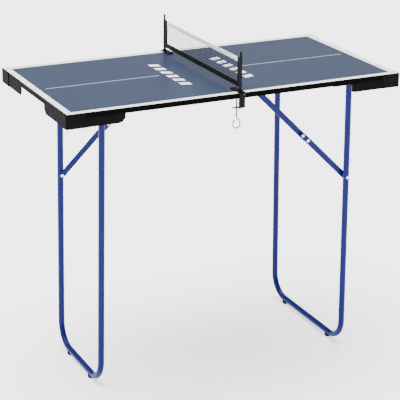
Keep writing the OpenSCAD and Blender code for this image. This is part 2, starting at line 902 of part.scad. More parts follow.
// The side hem with its pocket for the rod.
module net_hem(s) {
    h = net_top + hem_over - net_bottom;
    pocket_r = rod_d / 2 + pocket_wall;
    color(BLACK)
        translate([0, s * rod_y, net_z])
            difference() {
                union() {
                    cylinder(r = pocket_r, h = h);
                    translate([-tape_t / 2, s > 0 ? -hem_w - pocket_r : 0, 0])
                        cube([tape_t, hem_w + pocket_r, h]);
                }
                translate([0, 0, -EPS]) cylinder(d = rod_d + pin_hole, h = h + 2 * EPS);
            }
}

// ---------- nodes ----------

table_board();
court_print();
long_band(-1);  // edge_band_front
long_band(1);  // edge_band_back
short_band(-1);  // edge_band_left
short_band(1);  // edge_band_right
corner(-1, -1);  // corner_front_left
corner(-1, 1);  // corner_back_left
corner(1, -1);  // corner_front_right
corner(1, 1);  // corner_back_right
corner_screws();
bracket(-1, -1);  // bracket_narrow_front
bracket(-1, 1);  // bracket_narrow_back
bracket(1, -1);  // bracket_wide_front
bracket(1, 1);  // bracket_wide_back
bracket_screws();
pivot_bolts();
pivot_nuts();
pivot_washers();
stay_bracket(-1);  // stay_bracket_narrow
stay_bracket(1);  // stay_bracket_wide
stay_bracket_screws();
stay_top_rivet(-1);  // stay_top_rivet_narrow
stay_top_rivet(1);  // stay_top_rivet_wide
leg_tube(-1);  // leg_tube_narrow
leg_plugs(-1);  // leg_plugs_narrow
foot(-1, -1);  // foot_narrow_front
foot(-1, 1);  // foot_narrow_back
stay_leg_rivet(-1);  // stay_leg_rivet_narrow
leg_tube(1);  // leg_tube_wide
leg_plugs(1);  // leg_plugs_wide
foot(1, -1);  // foot_wide_front
foot(1, 1);  // foot_wide_back
stay_leg_rivet(1);  // stay_leg_rivet_wide
stay_upper(-1);  // stay_upper_narrow
stay_collar(-1);  // stay_collar_narrow
stay_lower(-1);  // stay_lower_narrow
stay_mid_rivet(-1);  // stay_mid_rivet_narrow
stay_stop_pin(-1);  // stay_stop_pin_narrow
stay_upper(1);  // stay_upper_wide
stay_collar(1);  // stay_collar_wide
stay_lower(1);  // stay_lower_wide
stay_mid_rivet(1);  // stay_mid_rivet_wide
stay_stop_pin(1);  // stay_stop_pin_wide
net_clamp(-1);  // net_clamp_front
net_clamp(1);  // net_clamp_back
clamp_rivets();
net_rod(-1);  // net_rod_front
net_rod(1);  // net_rod_back
clamp_pad(-1);  // clamp_pad_front
clamp_pad(1);  // clamp_pad_back
clamp_screw(-1);  // clamp_screw_front
clamp_screw(1);  // clamp_screw_back
net_mesh();
net_top_tape();
net_bottom_tape();
net_hem(-1);  // net_hem_front
net_hem(1);  // net_hem_back
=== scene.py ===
import json
import math

import bmesh
import bpy
from mathutils import Matrix, Vector


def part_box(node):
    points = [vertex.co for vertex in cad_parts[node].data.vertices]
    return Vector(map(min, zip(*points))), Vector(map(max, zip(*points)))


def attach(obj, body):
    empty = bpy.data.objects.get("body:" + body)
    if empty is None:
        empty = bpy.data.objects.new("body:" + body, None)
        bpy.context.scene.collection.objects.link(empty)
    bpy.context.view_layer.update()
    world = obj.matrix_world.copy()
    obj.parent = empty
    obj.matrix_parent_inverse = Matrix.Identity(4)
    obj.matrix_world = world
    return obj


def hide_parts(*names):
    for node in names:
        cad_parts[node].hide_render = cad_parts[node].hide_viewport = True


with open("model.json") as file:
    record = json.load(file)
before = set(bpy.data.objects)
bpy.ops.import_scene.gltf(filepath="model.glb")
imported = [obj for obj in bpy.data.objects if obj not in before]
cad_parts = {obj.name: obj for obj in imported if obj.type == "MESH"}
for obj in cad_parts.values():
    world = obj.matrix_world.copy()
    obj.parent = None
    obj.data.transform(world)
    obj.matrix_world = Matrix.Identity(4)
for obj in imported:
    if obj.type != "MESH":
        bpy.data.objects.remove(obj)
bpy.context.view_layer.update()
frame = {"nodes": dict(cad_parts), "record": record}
shown = bpy.context.scene.collection

# ---------------------------------------------------------------------------------------------
# Board: 13 mm fibreboard with a sealed and sprayed satin blue playing face and a dark backing
# sheet below. The spray leaves a very fine orange peel, and play leaves faint dull ball marks.

board_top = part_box("table_board")[1].z


class Amount:
    """One value in a material. Arithmetic on it adds the Math nodes that it needs."""

    def __init__(self, paint, socket):
        self.paint = paint
        self.socket = socket

    def maths(self, operation, *values):
        return self.paint.node("ShaderNodeMath", {"operation": operation}, dict(enumerate(values)))

    def __add__(self, other):
        return self.maths("ADD", self, other)

    def __sub__(self, other):
        return self.maths("SUBTRACT", self, other)

    def __rsub__(self, other):
        return self.maths("SUBTRACT", other, self)

    def __mul__(self, other):
        return self.maths("MULTIPLY", self, other)

    def __truediv__(self, other):
        return self.maths("DIVIDE", self, other)

    __radd__ = __add__
    __rmul__ = __mul__

    def over(self, limit):
        """1 where this is more than the limit and 0 elsewhere."""
        return self.maths("GREATER_THAN", self, limit)

    def ramp(self, low, high):
        """0 below low, 1 above high and even in between."""
        return self.paint.node("ShaderNodeMapRange", {"clamp": True}, {0: self, 1: low, 2: high})


class Paint:
    """A material in the making, whose patterns are fixed to the piece itself."""

    def __init__(self, name, roughness=0.5, metallic=0.0, specular=0.5, ior=1.45):
        self.material = bpy.data.materials.new(name)
        self.material.use_nodes = True
        self.tree = self.material.node_tree
        self.shader = self.tree.nodes["Principled BSDF"]
        self.shader.inputs["Roughness"].default_value = roughness
        self.shader.inputs["Metallic"].default_value = metallic
        self.shader.inputs["IOR"].default_value = ior
        self.shader.inputs["Specular IOR Level"].default_value = specular
        self.place = self.node("ShaderNodeTexCoord", output="Object")

    def node(self, kind, settings=None, values=None, output=0):
        made = self.tree.nodes.new(kind)
        for key, setting in (settings or {}).items():
            setattr(made, key, setting)
        for key, value in (values or {}).items():
            if isinstance(value, Amount):
                self.tree.links.new(value.socket, made.inputs[key])
            else:
                made.inputs[key].default_value = value
        return Amount(self, made.outputs[output])

    def stretched(self, x, y, z):
        return self.node("ShaderNodeMapping", None, {"Vector": self.place, "Scale": (x, y, z)})

    def noise(self, per_metre, detail=2.0, place=None):
        values = {"Vector": place or self.place, "Scale": per_metre, "Detail": detail}
        return self.node("ShaderNodeTexNoise", None, values)

    def along(self, axis):
        parts = self.node("ShaderNodeSeparateXYZ", None, {"Vector": self.place})
        return Amount(self, parts.socket.node.outputs["XYZ".index(axis)])

    def mix(self, share, first, second):
        values = {0: share, 6: first, 7: second}
        return self.node("ShaderNodeMix", {"data_type": "RGBA"}, values, 2)

    def set(self, name, value):
        if isinstance(value, Amount):
            self.tree.links.new(value.socket, self.shader.inputs[name])
        else:
            self.shader.inputs[name].default_value = value

    def relief(self, height, depth, strength=1.0):
        """Raises the surface by height, a value from 0 to 1, times depth in metres."""
        values = {"Height": height, "Distance": depth, "Strength": strength}
        self.set("Normal", self.node("ShaderNodeBump", None, values))


def shade(red, green, blue):
    return (red, green, blue, 1.0)


def wear_colour(paint, base, worn, per_metre, low=0.52, high=0.75):
    """The base colour with soft patches of a second one."""
    patches = paint.noise(per_metre, 4.0).ramp(low, high)
    paint.set("Base Color", paint.mix(patches, base, worn))


def coat_node(name, paint):
    """Gives a frame part its material."""
    mesh = frame["nodes"][name].data
    mesh.materials.clear()
    mesh.materials.append(paint.material)


board_paint = Paint("court_blue_satin", specular=0.42)
speckle = board_paint.noise(420.0, 3.0).ramp(0.35, 0.7)
cloud = board_paint.noise(7.0, 2.0).ramp(0.3, 0.7)
face_blue = board_paint.mix(cloud, shade(0.0185, 0.0300, 0.0620), shade(0.0225, 0.0355, 0.0700))
face_blue = board_paint.mix(speckle * 0.35, face_blue, shade(0.029, 0.044, 0.084))
ball_marks = board_paint.noise(55.0, 1.0).ramp(0.66, 0.72)
face_blue = board_paint.mix(ball_marks * 0.10, face_blue, shade(0.08, 0.11, 0.17))
backing = board_paint.mix(speckle, shade(0.020, 0.022, 0.026), shade(0.030, 0.033, 0.038))
is_face = board_paint.along("Z").over(board_top - 0.0006)
board_paint.set("Base Color", board_paint.mix(is_face, backing, face_blue))
board_paint.set("Roughness", 0.28 + ball_marks * 0.10 + cloud * 0.03)
board_paint.relief(board_paint.noise(700.0, 1.0), 0.00001, 0.5)
coat_node("table_board", board_paint)

# ---------------------------------------------------------------------------------------------
# Court print: white ink screen-printed on the lacquer, with a border, a thin centre line and a
# row of plain slanted bars on each half. It is a little thin in places and scuffed by play.

print_paint = Paint("court_print_white", roughness=0.42)
thin_ink = print_paint.noise(260.0, 4.0).ramp(0.60, 0.80)
off_middle = print_paint.along("Y")
centre_print = 1.0 - off_middle.maths("ABSOLUTE", off_middle).over(0.0025)
ink = print_paint.mix(centre_print, shade(0.93, 0.94, 0.97), shade(0.36, 0.44, 0.56))
ink = print_paint.mix(thin_ink * 0.35, ink, shade(0.42, 0.49, 0.60))
print_paint.set("Base Color", ink)
print_paint.set("Roughness", 0.38 + print_paint.noise(60.0).ramp(0.3, 0.8) * 0.12)
print_paint.relief(print_paint.noise(700.0), 0.00004, 0.4)
coat_node("court_print", print_paint)

# ---------------------------------------------------------------------------------------------
# Edge bands: black plastic extruded with a groove along the middle, cut to length and glued on.
# The die leaves fine lines along each band.


def as_piece(name, mesh, body, paint, slot, *stands_for):
    """Shows a mesh as a piece of the given body, with its paint, in place of the frame parts."""
    mesh.materials.clear()
    mesh.materials.append(paint.material)
    piece = bpy.data.objects.new(name, mesh)
    shown.objects.link(piece)
    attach(piece, body)
    if stands_for:
        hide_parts(*stands_for)
    return piece


def made_by(modifiers, mesh):
    """The mesh that a stack of modifiers makes of another, as a plain mesh."""
    holder = bpy.data.objects.new("holder", mesh)
    shown.objects.link(holder)
    for kind, settings in modifiers:
        modifier = holder.modifiers.new(kind, kind)
        for key, value in settings.items():
            setattr(modifier, key, value)
    bpy.context.view_layer.update()
    view = bpy.context.evaluated_depsgraph_get()
    result = bpy.data.meshes.new_from_object(holder.evaluated_get(view))
    bpy.data.objects.remove(holder)
    return result


def body_of(name):
    return next(b for b, nodes in frame["record"]["behaviour"]["bodies"].items() if name in nodes)


def slot_of(name):
    return next(s["material_slot"] for s in frame["record"]["subparts"] if s["node"] == name)


def eased(name, paint, radius, segments=3):
    """The frame part's own shape with its sharp edges broken to a small radius."""
    mesh = frame["nodes"][name].data.copy()
    shape = bmesh.new()
    shape.from_mesh(mesh)
    bmesh.ops.remove_doubles(shape, verts=shape.verts, dist=2e-6)
    flat = math.radians(0.6)
    bmesh.ops.dissolve_limit(shape, angle_limit=flat, verts=shape.verts, edges=shape.edges)
    for face in shape.faces:
        face.smooth = True
    shape.to_mesh(mesh)
    shape.free()
    bevel = {"width": radius, "segments": segments, "limit_method": "ANGLE", "harden_normals": False}
    bevel["angle_limit"] = math.radians(35)
    mesh = made_by([("BEVEL", bevel), ("WEIGHTED_NORMAL", {"keep_sharp": True})], mesh)
    return as_piece(name + "_part", mesh, body_of(name), paint, slot_of(name), name)


band_paint = Paint("edge_band_black", roughness=0.42, ior=1.06)
wear_colour(band_paint, shade(0.0022, 0.0022, 0.0024), shade(0.0038, 0.0038, 0.004), 30.0)
draw_lines = band_paint.noise(1.0, 3.0, band_paint.stretched(12.0, 12.0, 1500.0))
band_paint.set("Roughness", 0.36 + draw_lines * 0.18)
band_paint.relief(draw_lines, 0.00006)
for side in ("front", "back", "left", "right"):
    coat_node("edge_band_" + side, band_paint)

# ---------------------------------------------------------------------------------------------
# Corner mouldings: black injection-moulded plastic with a fine spark-eroded grain. Each one is
# screwed to the board's underside and wraps the corner; the edges are rounded by the mould.

moulding_paint = Paint("moulding_black_grained", roughness=0.5, ior=1.06)
wear_colour(moulding_paint, shade(0.0052, 0.0051, 0.0052), shade(0.0098, 0.0094, 0.0088), 22.0)
grain = moulding_paint.noise(2200.0, 2.0)
moulding_paint.set("Roughness", 0.40 + grain * 0.16 + moulding_paint.noise(40.0) * 0.08)
moulding_paint.relief(grain, 0.00006, 0.8)
for corner in ("front_left", "back_left", "front_right", "back_right"):
    eased("corner_" + corner, moulding_paint, 0.0009)

# ---------------------------------------------------------------------------------------------
# Wood screws: zinc-plated pan heads with a cross recess, driven up through the mouldings and
# the brackets into the board. Each has its own turn.


def node_tree(name, inputs):
    """An empty geometry tree with its sizes as named inputs, and those inputs' identifiers."""
    tree = bpy.data.node_groups.new(name, "GeometryNodeTree")
    tree.interface.new_socket("Geometry", in_out="INPUT", socket_type="NodeSocketGeometry")
    names = {}
    for label, kind in inputs.items():
        names[label] = tree.interface.new_socket(label, in_out="INPUT", socket_type=kind).identifier
    tree.interface.new_socket("Geometry", in_out="OUTPUT", socket_type="NodeSocketGeometry")
    return tree, names


def add(tree, kind, settings=None, values=None):
    """Adds a geometry node; a value that is a socket is linked and any other is set."""
    made = tree.nodes.new(kind)
    for key, setting in (settings or {}).items():
        setattr(made, key, setting)
    for key, value in (values or {}).items():
        if isinstance(value, bpy.types.NodeSocket):
            tree.links.new(value, made.inputs[key])
        else:
            made.inputs[key].default_value = value
    return made


def end_with(tree, geometry, paint):
    """Ends a tree in Realize Instances and Set Material."""
    real = add(tree, "GeometryNodeRealizeInstances", None, {"Geometry": geometry})
    values = {"Geometry": real.outputs[0], "Material": paint.material}
    last = add(tree, "GeometryNodeSetMaterial", None, values)
    out = tree.nodes.new("NodeGroupOutput")
    tree.links.new(last.outputs[0], out.inputs[0])


def grown(tree, names, values, mesh):
    """The plain mesh that a geometry tree makes of another one, with the given input values."""
    holder = bpy.data.objects.new("holder", mesh)
    shown.objects.link(holder)
    modifier = holder.modifiers.new("grow", "NODES")
    modifier.node_group = tree
    for label, value in values.items():
        modifier[names[label]] = value
    holder.update_tag()
    bpy.context.view_layer.update()
    view = bpy.context.evaluated_depsgraph_get()
    result = bpy.data.meshes.new_from_object(holder.evaluated_get(view))
    bpy.data.objects.remove(holder)
    return result


def loose_parts(name):
    """The low and high corner of each separate solid in a frame part."""
    shape = bmesh.new()
    shape.from_mesh(frame["nodes"][name].data)
    bmesh.ops.remove_doubles(shape, verts=shape.verts, dist=2e-6)
    left = set(shape.verts)
    found = []
    while left:
        reached = [left.pop()]
        part = list(reached)
        while reached:
            for edge in reached.pop().link_edges:
                for vert in edge.verts:
                    if vert in left:
                        left.remove(vert)
                        reached.append(vert)
                        part.append(vert)
        low = Vector([min(v.co[i] for v in part) for i in range(3)])
        high = Vector([max(v.co[i] for v in part) for i in range(3)])
        found.append((low, high))
    shape.free()
    return sorted(found, key=lambda box: tuple(round(c, 4) for c in box[0]))


def lathe(profile, steps, mesh_name):
    """A closed solid turned about Z from (radius, height) points, first and last on the axis."""
    shape = bmesh.new()
    rings = []
    for radius, height in profile:
        if radius < 1e-7:
            rings.append([shape.verts.new((0, 0, height))] * steps)
            continue
        ring = []
        for i in range(steps):
            turn = 2 * math.pi * i / steps
            ring.append(shape.verts.new((radius * math.cos(turn), radius * math.sin(turn), height)))
        rings.append(ring)
    for lower, upper in zip(rings, rings[1:]):
        for i in range(steps):
            j = (i + 1) % steps
            corners = []
            for vert in (lower[i], lower[j], upper[j], upper[i]):
                if vert not in corners:
                    corners.append(vert)
            shape.faces.new(corners)
    bmesh.ops.recalc_face_normals(shape, faces=shape.faces)
    for face in shape.faces:
        face.smooth = True
    mesh = bpy.data.meshes.new(mesh_name)
    shape.to_mesh(mesh)
    shape.free()
    return mesh


def dome(radius, height, sharp=0.35, steps=6):
    """Profile points of a rounded head: upright rim, then an arc that ends flat on the axis."""
    rim = height * sharp
    points = [(radius, 0.0), (radius, rim)]
    for i in range(1, steps + 1):
        turn = math.pi / 2 * i / steps
        points.append((radius * math.cos(turn), rim + (height - rim) * math.sin(turn)))
    points[-1] = (0.0, height)
    return [(0.0, 0.0)] + points


steel_paint = Paint("zinc_plated_steel", roughness=0.3, metallic=1.0)
dull_zinc = steel_paint.noise(350.0, 4.0).ramp(0.4, 0.75)
zinc = steel_paint.mix(dull_zinc, shade(0.70, 0.71, 0.73), shade(0.52, 0.53, 0.56))
steel_paint.set("Base Color", zinc)
steel_paint.set("Roughness", 0.24 + dull_zinc * 0.22)
steel_paint.relief(steel_paint.noise(1800.0), 0.00003, 0.6)

pan_radius, pan_height = 0.0035, 0.0022
recess_reach, recess_width, recess_depth = 0.0021, 0.00075, 0.0012


def pan_head():
    """A pan head pointing along +Z, with a tapered cross recess cut into it."""
    head = lathe(dome(pan_radius, pan_height, 0.4, 5), 28, "pan_head")
    cutter = bpy.data.meshes.new("cross")
    shape = bmesh.new()
    for turn in (0.0, math.pi / 2):
        size = Matrix.Diagonal((recess_reach * 2, recess_width, recess_depth * 2, 1.0))
        lift = Matrix.Translation((0, 0, pan_height + recess_depth * 0.05 * (1 + turn)))
        bmesh.ops.create_cube(shape, size=1.0, matrix=lift @ Matrix.Rotation(turn, 4, "Z") @ size)
    for vert in shape.verts:
        if vert.co.z < pan_height:
            vert.co.x *= 0.55
            vert.co.y *= 0.55
    shape.to_mesh(cutter)
    shape.free()
    tool = bpy.data.objects.new("cross", cutter)
    shown.objects.link(tool)
    cut = {"object": tool, "operation": "DIFFERENCE", "solver": "EXACT", "use_self": True}
    result = made_by([("BOOLEAN", cut)], head)
    bpy.data.objects.remove(tool)
    return result


screw_master = bpy.data.objects.new("screw_master", pan_head())
screw_sizes = {"Head": "NodeSocketObject", "Seed": "NodeSocketInt"}
screw_tree, screw_inputs = node_tree("screws_at_points", screw_sizes)
start = add(screw_tree, "NodeGroupInput")
head_of = add(screw_tree, "GeometryNodeObjectInfo", None, {"Object": start.outputs["Head"]})
spin = {"Min": (math.pi, 0.0, 0.0), "Max": (math.pi, 0.0, math.tau), "Seed": start.outputs["Seed"]}
turned = add(screw_tree, "FunctionNodeRandomValue", {"data_type": "FLOAT_VECTOR"}, spin)
placed = {"Points": start.outputs["Geometry"], "Instance": head_of.outputs["Geometry"]}
placed["Rotation"] = turned.outputs[0]
screw_set = add(screw_tree, "GeometryNodeInstanceOnPoints", None, placed)
end_with(screw_tree, screw_set.outputs[0], steel_paint)

for seed, group in enumerate(("corner_screws", "bracket_screws", "stay_bracket_screws")):
    seats = bpy.data.meshes.new(group + "_seats")
    places = []
    for low, high in loose_parts(group):
        places.append(((low.x + high.x) / 2, (low.y + high.y) / 2, low.z + pan_height))
    seats.from_pydata(places, [], [])
    heads = grown(screw_tree, screw_inputs, {"Head": screw_master, "Seed": seed + 3}, seats)
    as_piece(group + "_heads", heads, "table", steel_paint, "steel_bright", group)

# ---------------------------------------------------------------------------------------------
# Leg brackets and stay brackets: 3 mm and 2.5 mm steel, pressed to an L and painted black. The
# press leaves broken edges, and the paint has soft, slightly brighter patches.

bracket_paint = Paint("bracket_black_paint", roughness=0.36, ior=1.16)
wear_colour(bracket_paint, shade(0.005, 0.005, 0.0055), shade(0.010, 0.010, 0.011), 60.0)
bracket_paint.set("Roughness", 0.28 + bracket_paint.noise(120.0, 3.0) * 0.2)
bracket_paint.relief(bracket_paint.noise(1100.0), 0.00008, 0.6)
for frame_name in ("narrow", "wide"):
    eased("stay_bracket_" + frame_name, bracket_paint, 0.0004)
    for side in ("front", "back"):
        eased("bracket_%s_%s" % (frame_name, side), bracket_paint, 0.0006)

# ---------------------------------------------------------------------------------------------
# Pivot bolts, nuts and washers: blacked M6 bolts with round heads, hexagon nuts and thin
# white nylon washers, on which the leg tubes turn.

blacked_paint = Paint("bolt_blacked_steel", roughness=0.4, metallic=0.6)
wear_colour(blacked_paint, shade(0.012, 0.012, 0.013), shade(0.045, 0.045, 0.048), 500.0)
blacked_paint.relief(blacked_paint.noise(1600.0), 0.00004, 0.6)
eased("pivot_bolts", blacked_paint, 0.0003, 2)
eased("pivot_nuts", blacked_paint, 0.0004, 2)
nylon_paint = Paint("washer_nylon", roughness=0.45)
wear_colour(nylon_paint, shade(0.72, 0.73, 0.74), shade(0.55, 0.54, 0.52), 300.0)
nylon_paint.relief(nylon_paint.noise(900.0), 0.00004, 0.5)
coat_node("pivot_washers", nylon_paint)

# ---------------------------------------------------------------------------------------------
# Leg tubes: 16 mm steel tube bent cold to a U and powder-coated gloss blue. The coating has a
# slight orange peel and is rubbed brighter in soft patches.

tube_paint = Paint("tube_blue_powder_coat", roughness=0.26, ior=1.22)
rubbed = tube_paint.noise(16.0, 4.0).ramp(0.5, 0.8)
deep = tube_paint.mix(rubbed, shade(0.0035, 0.0060, 0.105), shade(0.0055, 0.0095, 0.125))
dust = tube_paint.noise(900.0, 2.0).ramp(0.62, 0.72)
tube_paint.set("Base Color", tube_paint.mix(dust * 0.15, deep, shade(0.035, 0.05, 0.20)))
tube_paint.set("Roughness", 0.26 + tube_paint.noise(140.0, 3.0) * 0.14)
tube_paint.relief(tube_paint.noise(650.0, 1.0), 0.00010, 0.5)


def bent_tube(name):
    """The frame's tube with its surface made smooth, as the frame's own mesh is in flat strips."""
    mesh = frame["nodes"][name].data.copy()
    shape = bmesh.new()
    shape.from_mesh(mesh)
    bmesh.ops.remove_doubles(shape, verts=shape.verts, dist=2e-6)
    for face in shape.faces:
        face.smooth = True
    for edge in shape.edges:
        edge.smooth = len(edge.link_faces) == 2 and edge.calc_face_angle(0) < math.radians(40)
    shape.to_mesh(mesh)
    shape.free()
    mesh.normals_split_custom_set([(0, 0, 0)] * len(mesh.loops))
    return as_piece(name + "_part", mesh, body_of(name), tube_paint, "tube_blue", name)


for frame_name in ("narrow", "wide"):
    bent_tube("leg_tube_" + frame_name)

# ---------------------------------------------------------------------------------------------
# Tube plugs and feet: the plugs are black plastic caps pushed into the tubes' upper ends, and
# the feet are soft black rubber domes under the bottom bars, scuffed grey on their soles.

plug_paint = Paint("plug_black_plastic", roughness=0.4, ior=1.2)
wear_colour(plug_paint, shade(0.005, 0.005, 0.0055), shade(0.010, 0.010, 0.010), 120.0)
plug_paint.relief(plug_paint.noise(1400.0), 0.00005, 0.6)
rubber_paint = Paint("foot_rubber_black", roughness=0.75, ior=1.15)
near_sole = 1.0 - rubber_paint.along("Z").ramp(0.0, 0.004)
scuffed = rubber_paint.noise(500.0, 4.0).ramp(0.4, 0.7) * near_sole
rubber = rubber_paint.mix(scuffed, shade(0.004, 0.004, 0.004), shade(0.045, 0.043, 0.040))
rubber_paint.set("Base Color", rubber)
rubber_paint.set("Roughness", 0.62 + scuffed * 0.25)
rubber_paint.relief(rubber_paint.noise(1500.0, 3.0), 0.00008)
for frame_name in ("narrow", "wide"):
    coat_node("leg_plugs_" + frame_name, plug_paint)
    for side in ("front", "back"):
        coat_node("foot_%s_%s" % (frame_name, side), rubber_paint)

# ---------------------------------------------------------------------------------------------
# Stays: two flat steel bars with punched round ends, coated with the legs, and joined by bright
# rivets whose heads are set by a snap, so they are domed and a little uneven.

rivet_paint = Paint("rivet_bright_zinc", roughness=0.35, metallic=0.9)
set_marks = rivet_paint.noise(700.0, 4.0).ramp(0.4, 0.7)
bright_zinc = rivet_paint.mix(set_marks, shade(0.76, 0.77, 0.80), shade(0.55, 0.56, 0.60))
rivet_paint.set("Base Color", bright_zinc)
rivet_paint.set("Roughness", 0.30 + set_marks * 0.2)
rivet_paint.relief(rivet_paint.noise(1500.0), 0.00006, 0.6)
for frame_name in ("narrow", "wide"):
    for bar in ("upper", "lower"):
        eased("stay_%s_%s" % (bar, frame_name), tube_paint, 0.0006)
    for rivet in ("leg_rivet", "top_rivet", "mid_rivet", "collar", "stop_pin"):
        coat_node("stay_%s_%s" % (rivet, frame_name), rivet_paint)

# ---------------------------------------------------------------------------------------------
# Net clamps, their rivets and pads: clamps are bent from black enamelled strip, and the pads
# are plastic discs that press on the underside of the board.

clamp_paint = Paint("clamp_black_enamel", roughness=0.3, ior=1.16)
wear_colour(clamp_paint, shade(0.0022, 0.0022, 0.0024), shade(0.0045, 0.0045, 0.005), 90.0)
clamp_paint.set("Roughness", 0.24 + clamp_paint.noise(200.0, 3.0) * 0.2)
clamp_paint.relief(clamp_paint.noise(1000.0), 0.00008, 0.5)
for side in ("front", "back"):
    eased("net_clamp_" + side, clamp_paint, 0.0005)
    coat_node("net_rod_" + side, clamp_paint)
    coat_node("clamp_pad_" + side, plug_paint)
dull_rivet = Paint("clamp_rivet_dulled_steel", roughness=0.45, metallic=0.8)
wear_colour(dull_rivet, shade(0.16, 0.16, 0.17), shade(0.06, 0.06, 0.065), 600.0)
dull_rivet.relief(dull_rivet.noise(1500.0), 0.00005, 0.5)
coat_node("clamp_rivets", dull_rivet)

# ---------------------------------------------------------------------------------------------
# Clamp screws: 4 mm steel wire with a rolled thread, its lower end bent round to an open eye.
# Above the clamp's lower jaw, where it sits in shade under the board, the thread is painted near-black
# as painted shade, and it is bright below the jaw.

screw_paint = Paint("screw_wire_painted_shade_above_jaw", roughness=0.3, metallic=1.0)
clamp_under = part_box("net_clamp_front")[0].z + 0.003
# Painted shade: above the lower jaw the wire is coloured near-black and made less metallic.
shade_above_jaw = screw_paint.along("Z").over(clamp_under)
dull_wire = screw_paint.noise(500.0, 3.0).ramp(0.4, 0.7)
wire = screw_paint.mix(dull_wire, shade(0.34, 0.35, 0.36), shade(0.20, 0.205, 0.21))
screw_paint.set("Base Color", screw_paint.mix(shade_above_jaw, wire, shade(0.006, 0.006, 0.0063)))
screw_paint.set("Metallic", 1.0 - shade_above_jaw * 0.7)
screw_paint.set("Roughness", 0.28 + screw_paint.noise(900.0) * 0.2)
screw_paint.relief(screw_paint.noise(2500.0), 0.00003, 0.5)

wire_radius = 0.0020
thread_pitch, thread_height = 0.0008, 0.0003
eye_radius = 0.0095

thread_sizes = {"Pitch": "NodeSocketFloat", "Length": "NodeSocketFloat", "Radius": "NodeSocketFloat"}
thread_sizes["Height"] = "NodeSocketFloat"
thread_tree, thread_inputs = node_tree("rolled_thread", thread_sizes)
start = add(thread_tree, "NodeGroupInput")
turns = add(thread_tree, "ShaderNodeMath", {"operation": "DIVIDE"})
thread_tree.links.new(start.outputs["Length"], turns.inputs[0])
thread_tree.links.new(start.outputs["Pitch"], turns.inputs[1])
coil = {"Resolution": 14, "Rotations": turns.outputs[0], "Start Radius": start.outputs["Radius"]}
coil["End Radius"] = start.outputs["Radius"]
coil["Height"] = start.outputs["Length"]
spiral = add(thread_tree, "GeometryNodeCurveSpiral", None, coil)
ridge = add(thread_tree, "GeometryNodeCurvePrimitiveCircle", None, {"Resolution": 4})
thread_tree.links.new(start.outputs["Height"], ridge.inputs["Radius"])
swept = {"Curve": spiral.outputs[0], "Profile Curve": ridge.outputs[0], "Fill Caps": True}
ridged = add(thread_tree, "GeometryNodeCurveToMesh", None, swept)
end_with(thread_tree, ridged.outputs[0], screw_paint)


def swept_tube(points, radius, steps):
    """A round wire along a list of points, with flat closed ends."""
    line = bpy.data.curves.new("wire", "CURVE")
    line.dimensions = "3D"
    line.bevel_depth = radius
    line.bevel_resolution = steps // 4
    line.use_fill_caps = True
    spline = line.splines.new("POLY")
    spline.points.add(len(points) - 1)
    for point, place in zip(spline.points, points):
        point.co = (*place, 1.0)
    holder = bpy.data.objects.new("holder", line)
    shown.objects.link(holder)
    bpy.context.view_layer.update()
    view = bpy.context.evaluated_depsgraph_get()
    result = bpy.data.meshes.new_from_object(holder.evaluated_get(view))
    bpy.data.objects.remove(holder)
    for face in result.polygons:
        face.use_smooth = len(face.vertices) == 4
    return result


def joined(*meshes):
    """Several meshes as one."""
    shape = bmesh.new()
    for mesh in meshes:
        shape.from_mesh(mesh)
    result = bpy.data.meshes.new("joined")
    shape.to_mesh(result)
    shape.free()
    return result


def clamp_screw(side):
    """The eye, the neck that leads into it, the shank and the thread, as one mesh."""
    name = "clamp_screw_" + side
    low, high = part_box(name)
    x, y = 0.0, (low.y + high.y) / 2
    eye_z = low.z + wire_radius + eye_radius
    first, last = math.radians(120), math.radians(412)
    ring = []
    for i in range(57):
        turn = first + (last - first) * i / 56
        rise = eye_radius * math.sin(turn) * (1.45 if math.sin(turn) > 0 else 1.0)
        ring.append((x + eye_radius * math.cos(turn), y, eye_z + rise))
    neck_z = eye_z + eye_radius * 1.85
    leave = Vector(ring[-1])
    meet = Vector((x, y, neck_z))
    run = []
    for i in range(1, 9):
        share = i / 8
        eased_share = share * share * (3 - 2 * share)
        across = leave.x + (meet.x - leave.x) * eased_share
        run.append((across, y, leave.z + (meet.z - leave.z) * share))
    core = wire_radius - thread_height
    wire_mesh = swept_tube(ring + run + [(x, y, neck_z + 0.004)], wire_radius * 0.9, 12)
    shank = lathe([(0, neck_z), (core, neck_z), (core, high.z), (0, high.z)], 20, "shank")
    shank.transform(Matrix.Translation((x, y, 0)))
    sizes = {"Pitch": thread_pitch, "Length": high.z - neck_z - 0.006, "Radius": core}
    sizes["Height"] = thread_height
    thread = grown(thread_tree, thread_inputs, sizes, bpy.data.meshes.new("no_points"))
    thread.transform(Matrix.Translation((x, y, neck_z + 0.004)))
    as_piece(name + "_part", joined(wire_mesh, shank, thread), name, screw_paint, "steel_bright", name)


for side in ("front", "back"):
    clamp_screw(side)

# ---------------------------------------------------------------------------------------------
# Netting: black cord knotted to a mesh of about 7 mm with thinner ties, hung between the two
# tapes and sewn into the side hems. The rods hold it nearly flat, with a slight give in the cells.

net_low, net_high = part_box("net_mesh")
cell = 0.0067
cord_radius = 0.00062
tie_radius = 0.00034
knot_radius = 0.00080

cord_paint = Paint("net_cord_black", roughness=0.7)
fluff = cord_paint.noise(2600.0, 3.0)
cord_black = cord_paint.mix(fluff, shade(0.003, 0.003, 0.004), shade(0.010, 0.010, 0.012))
cord_paint.set("Base Color", cord_black)
cord_paint.set("Roughness", 0.6 + fluff * 0.2)
cord_paint.relief(fluff, 0.0001)

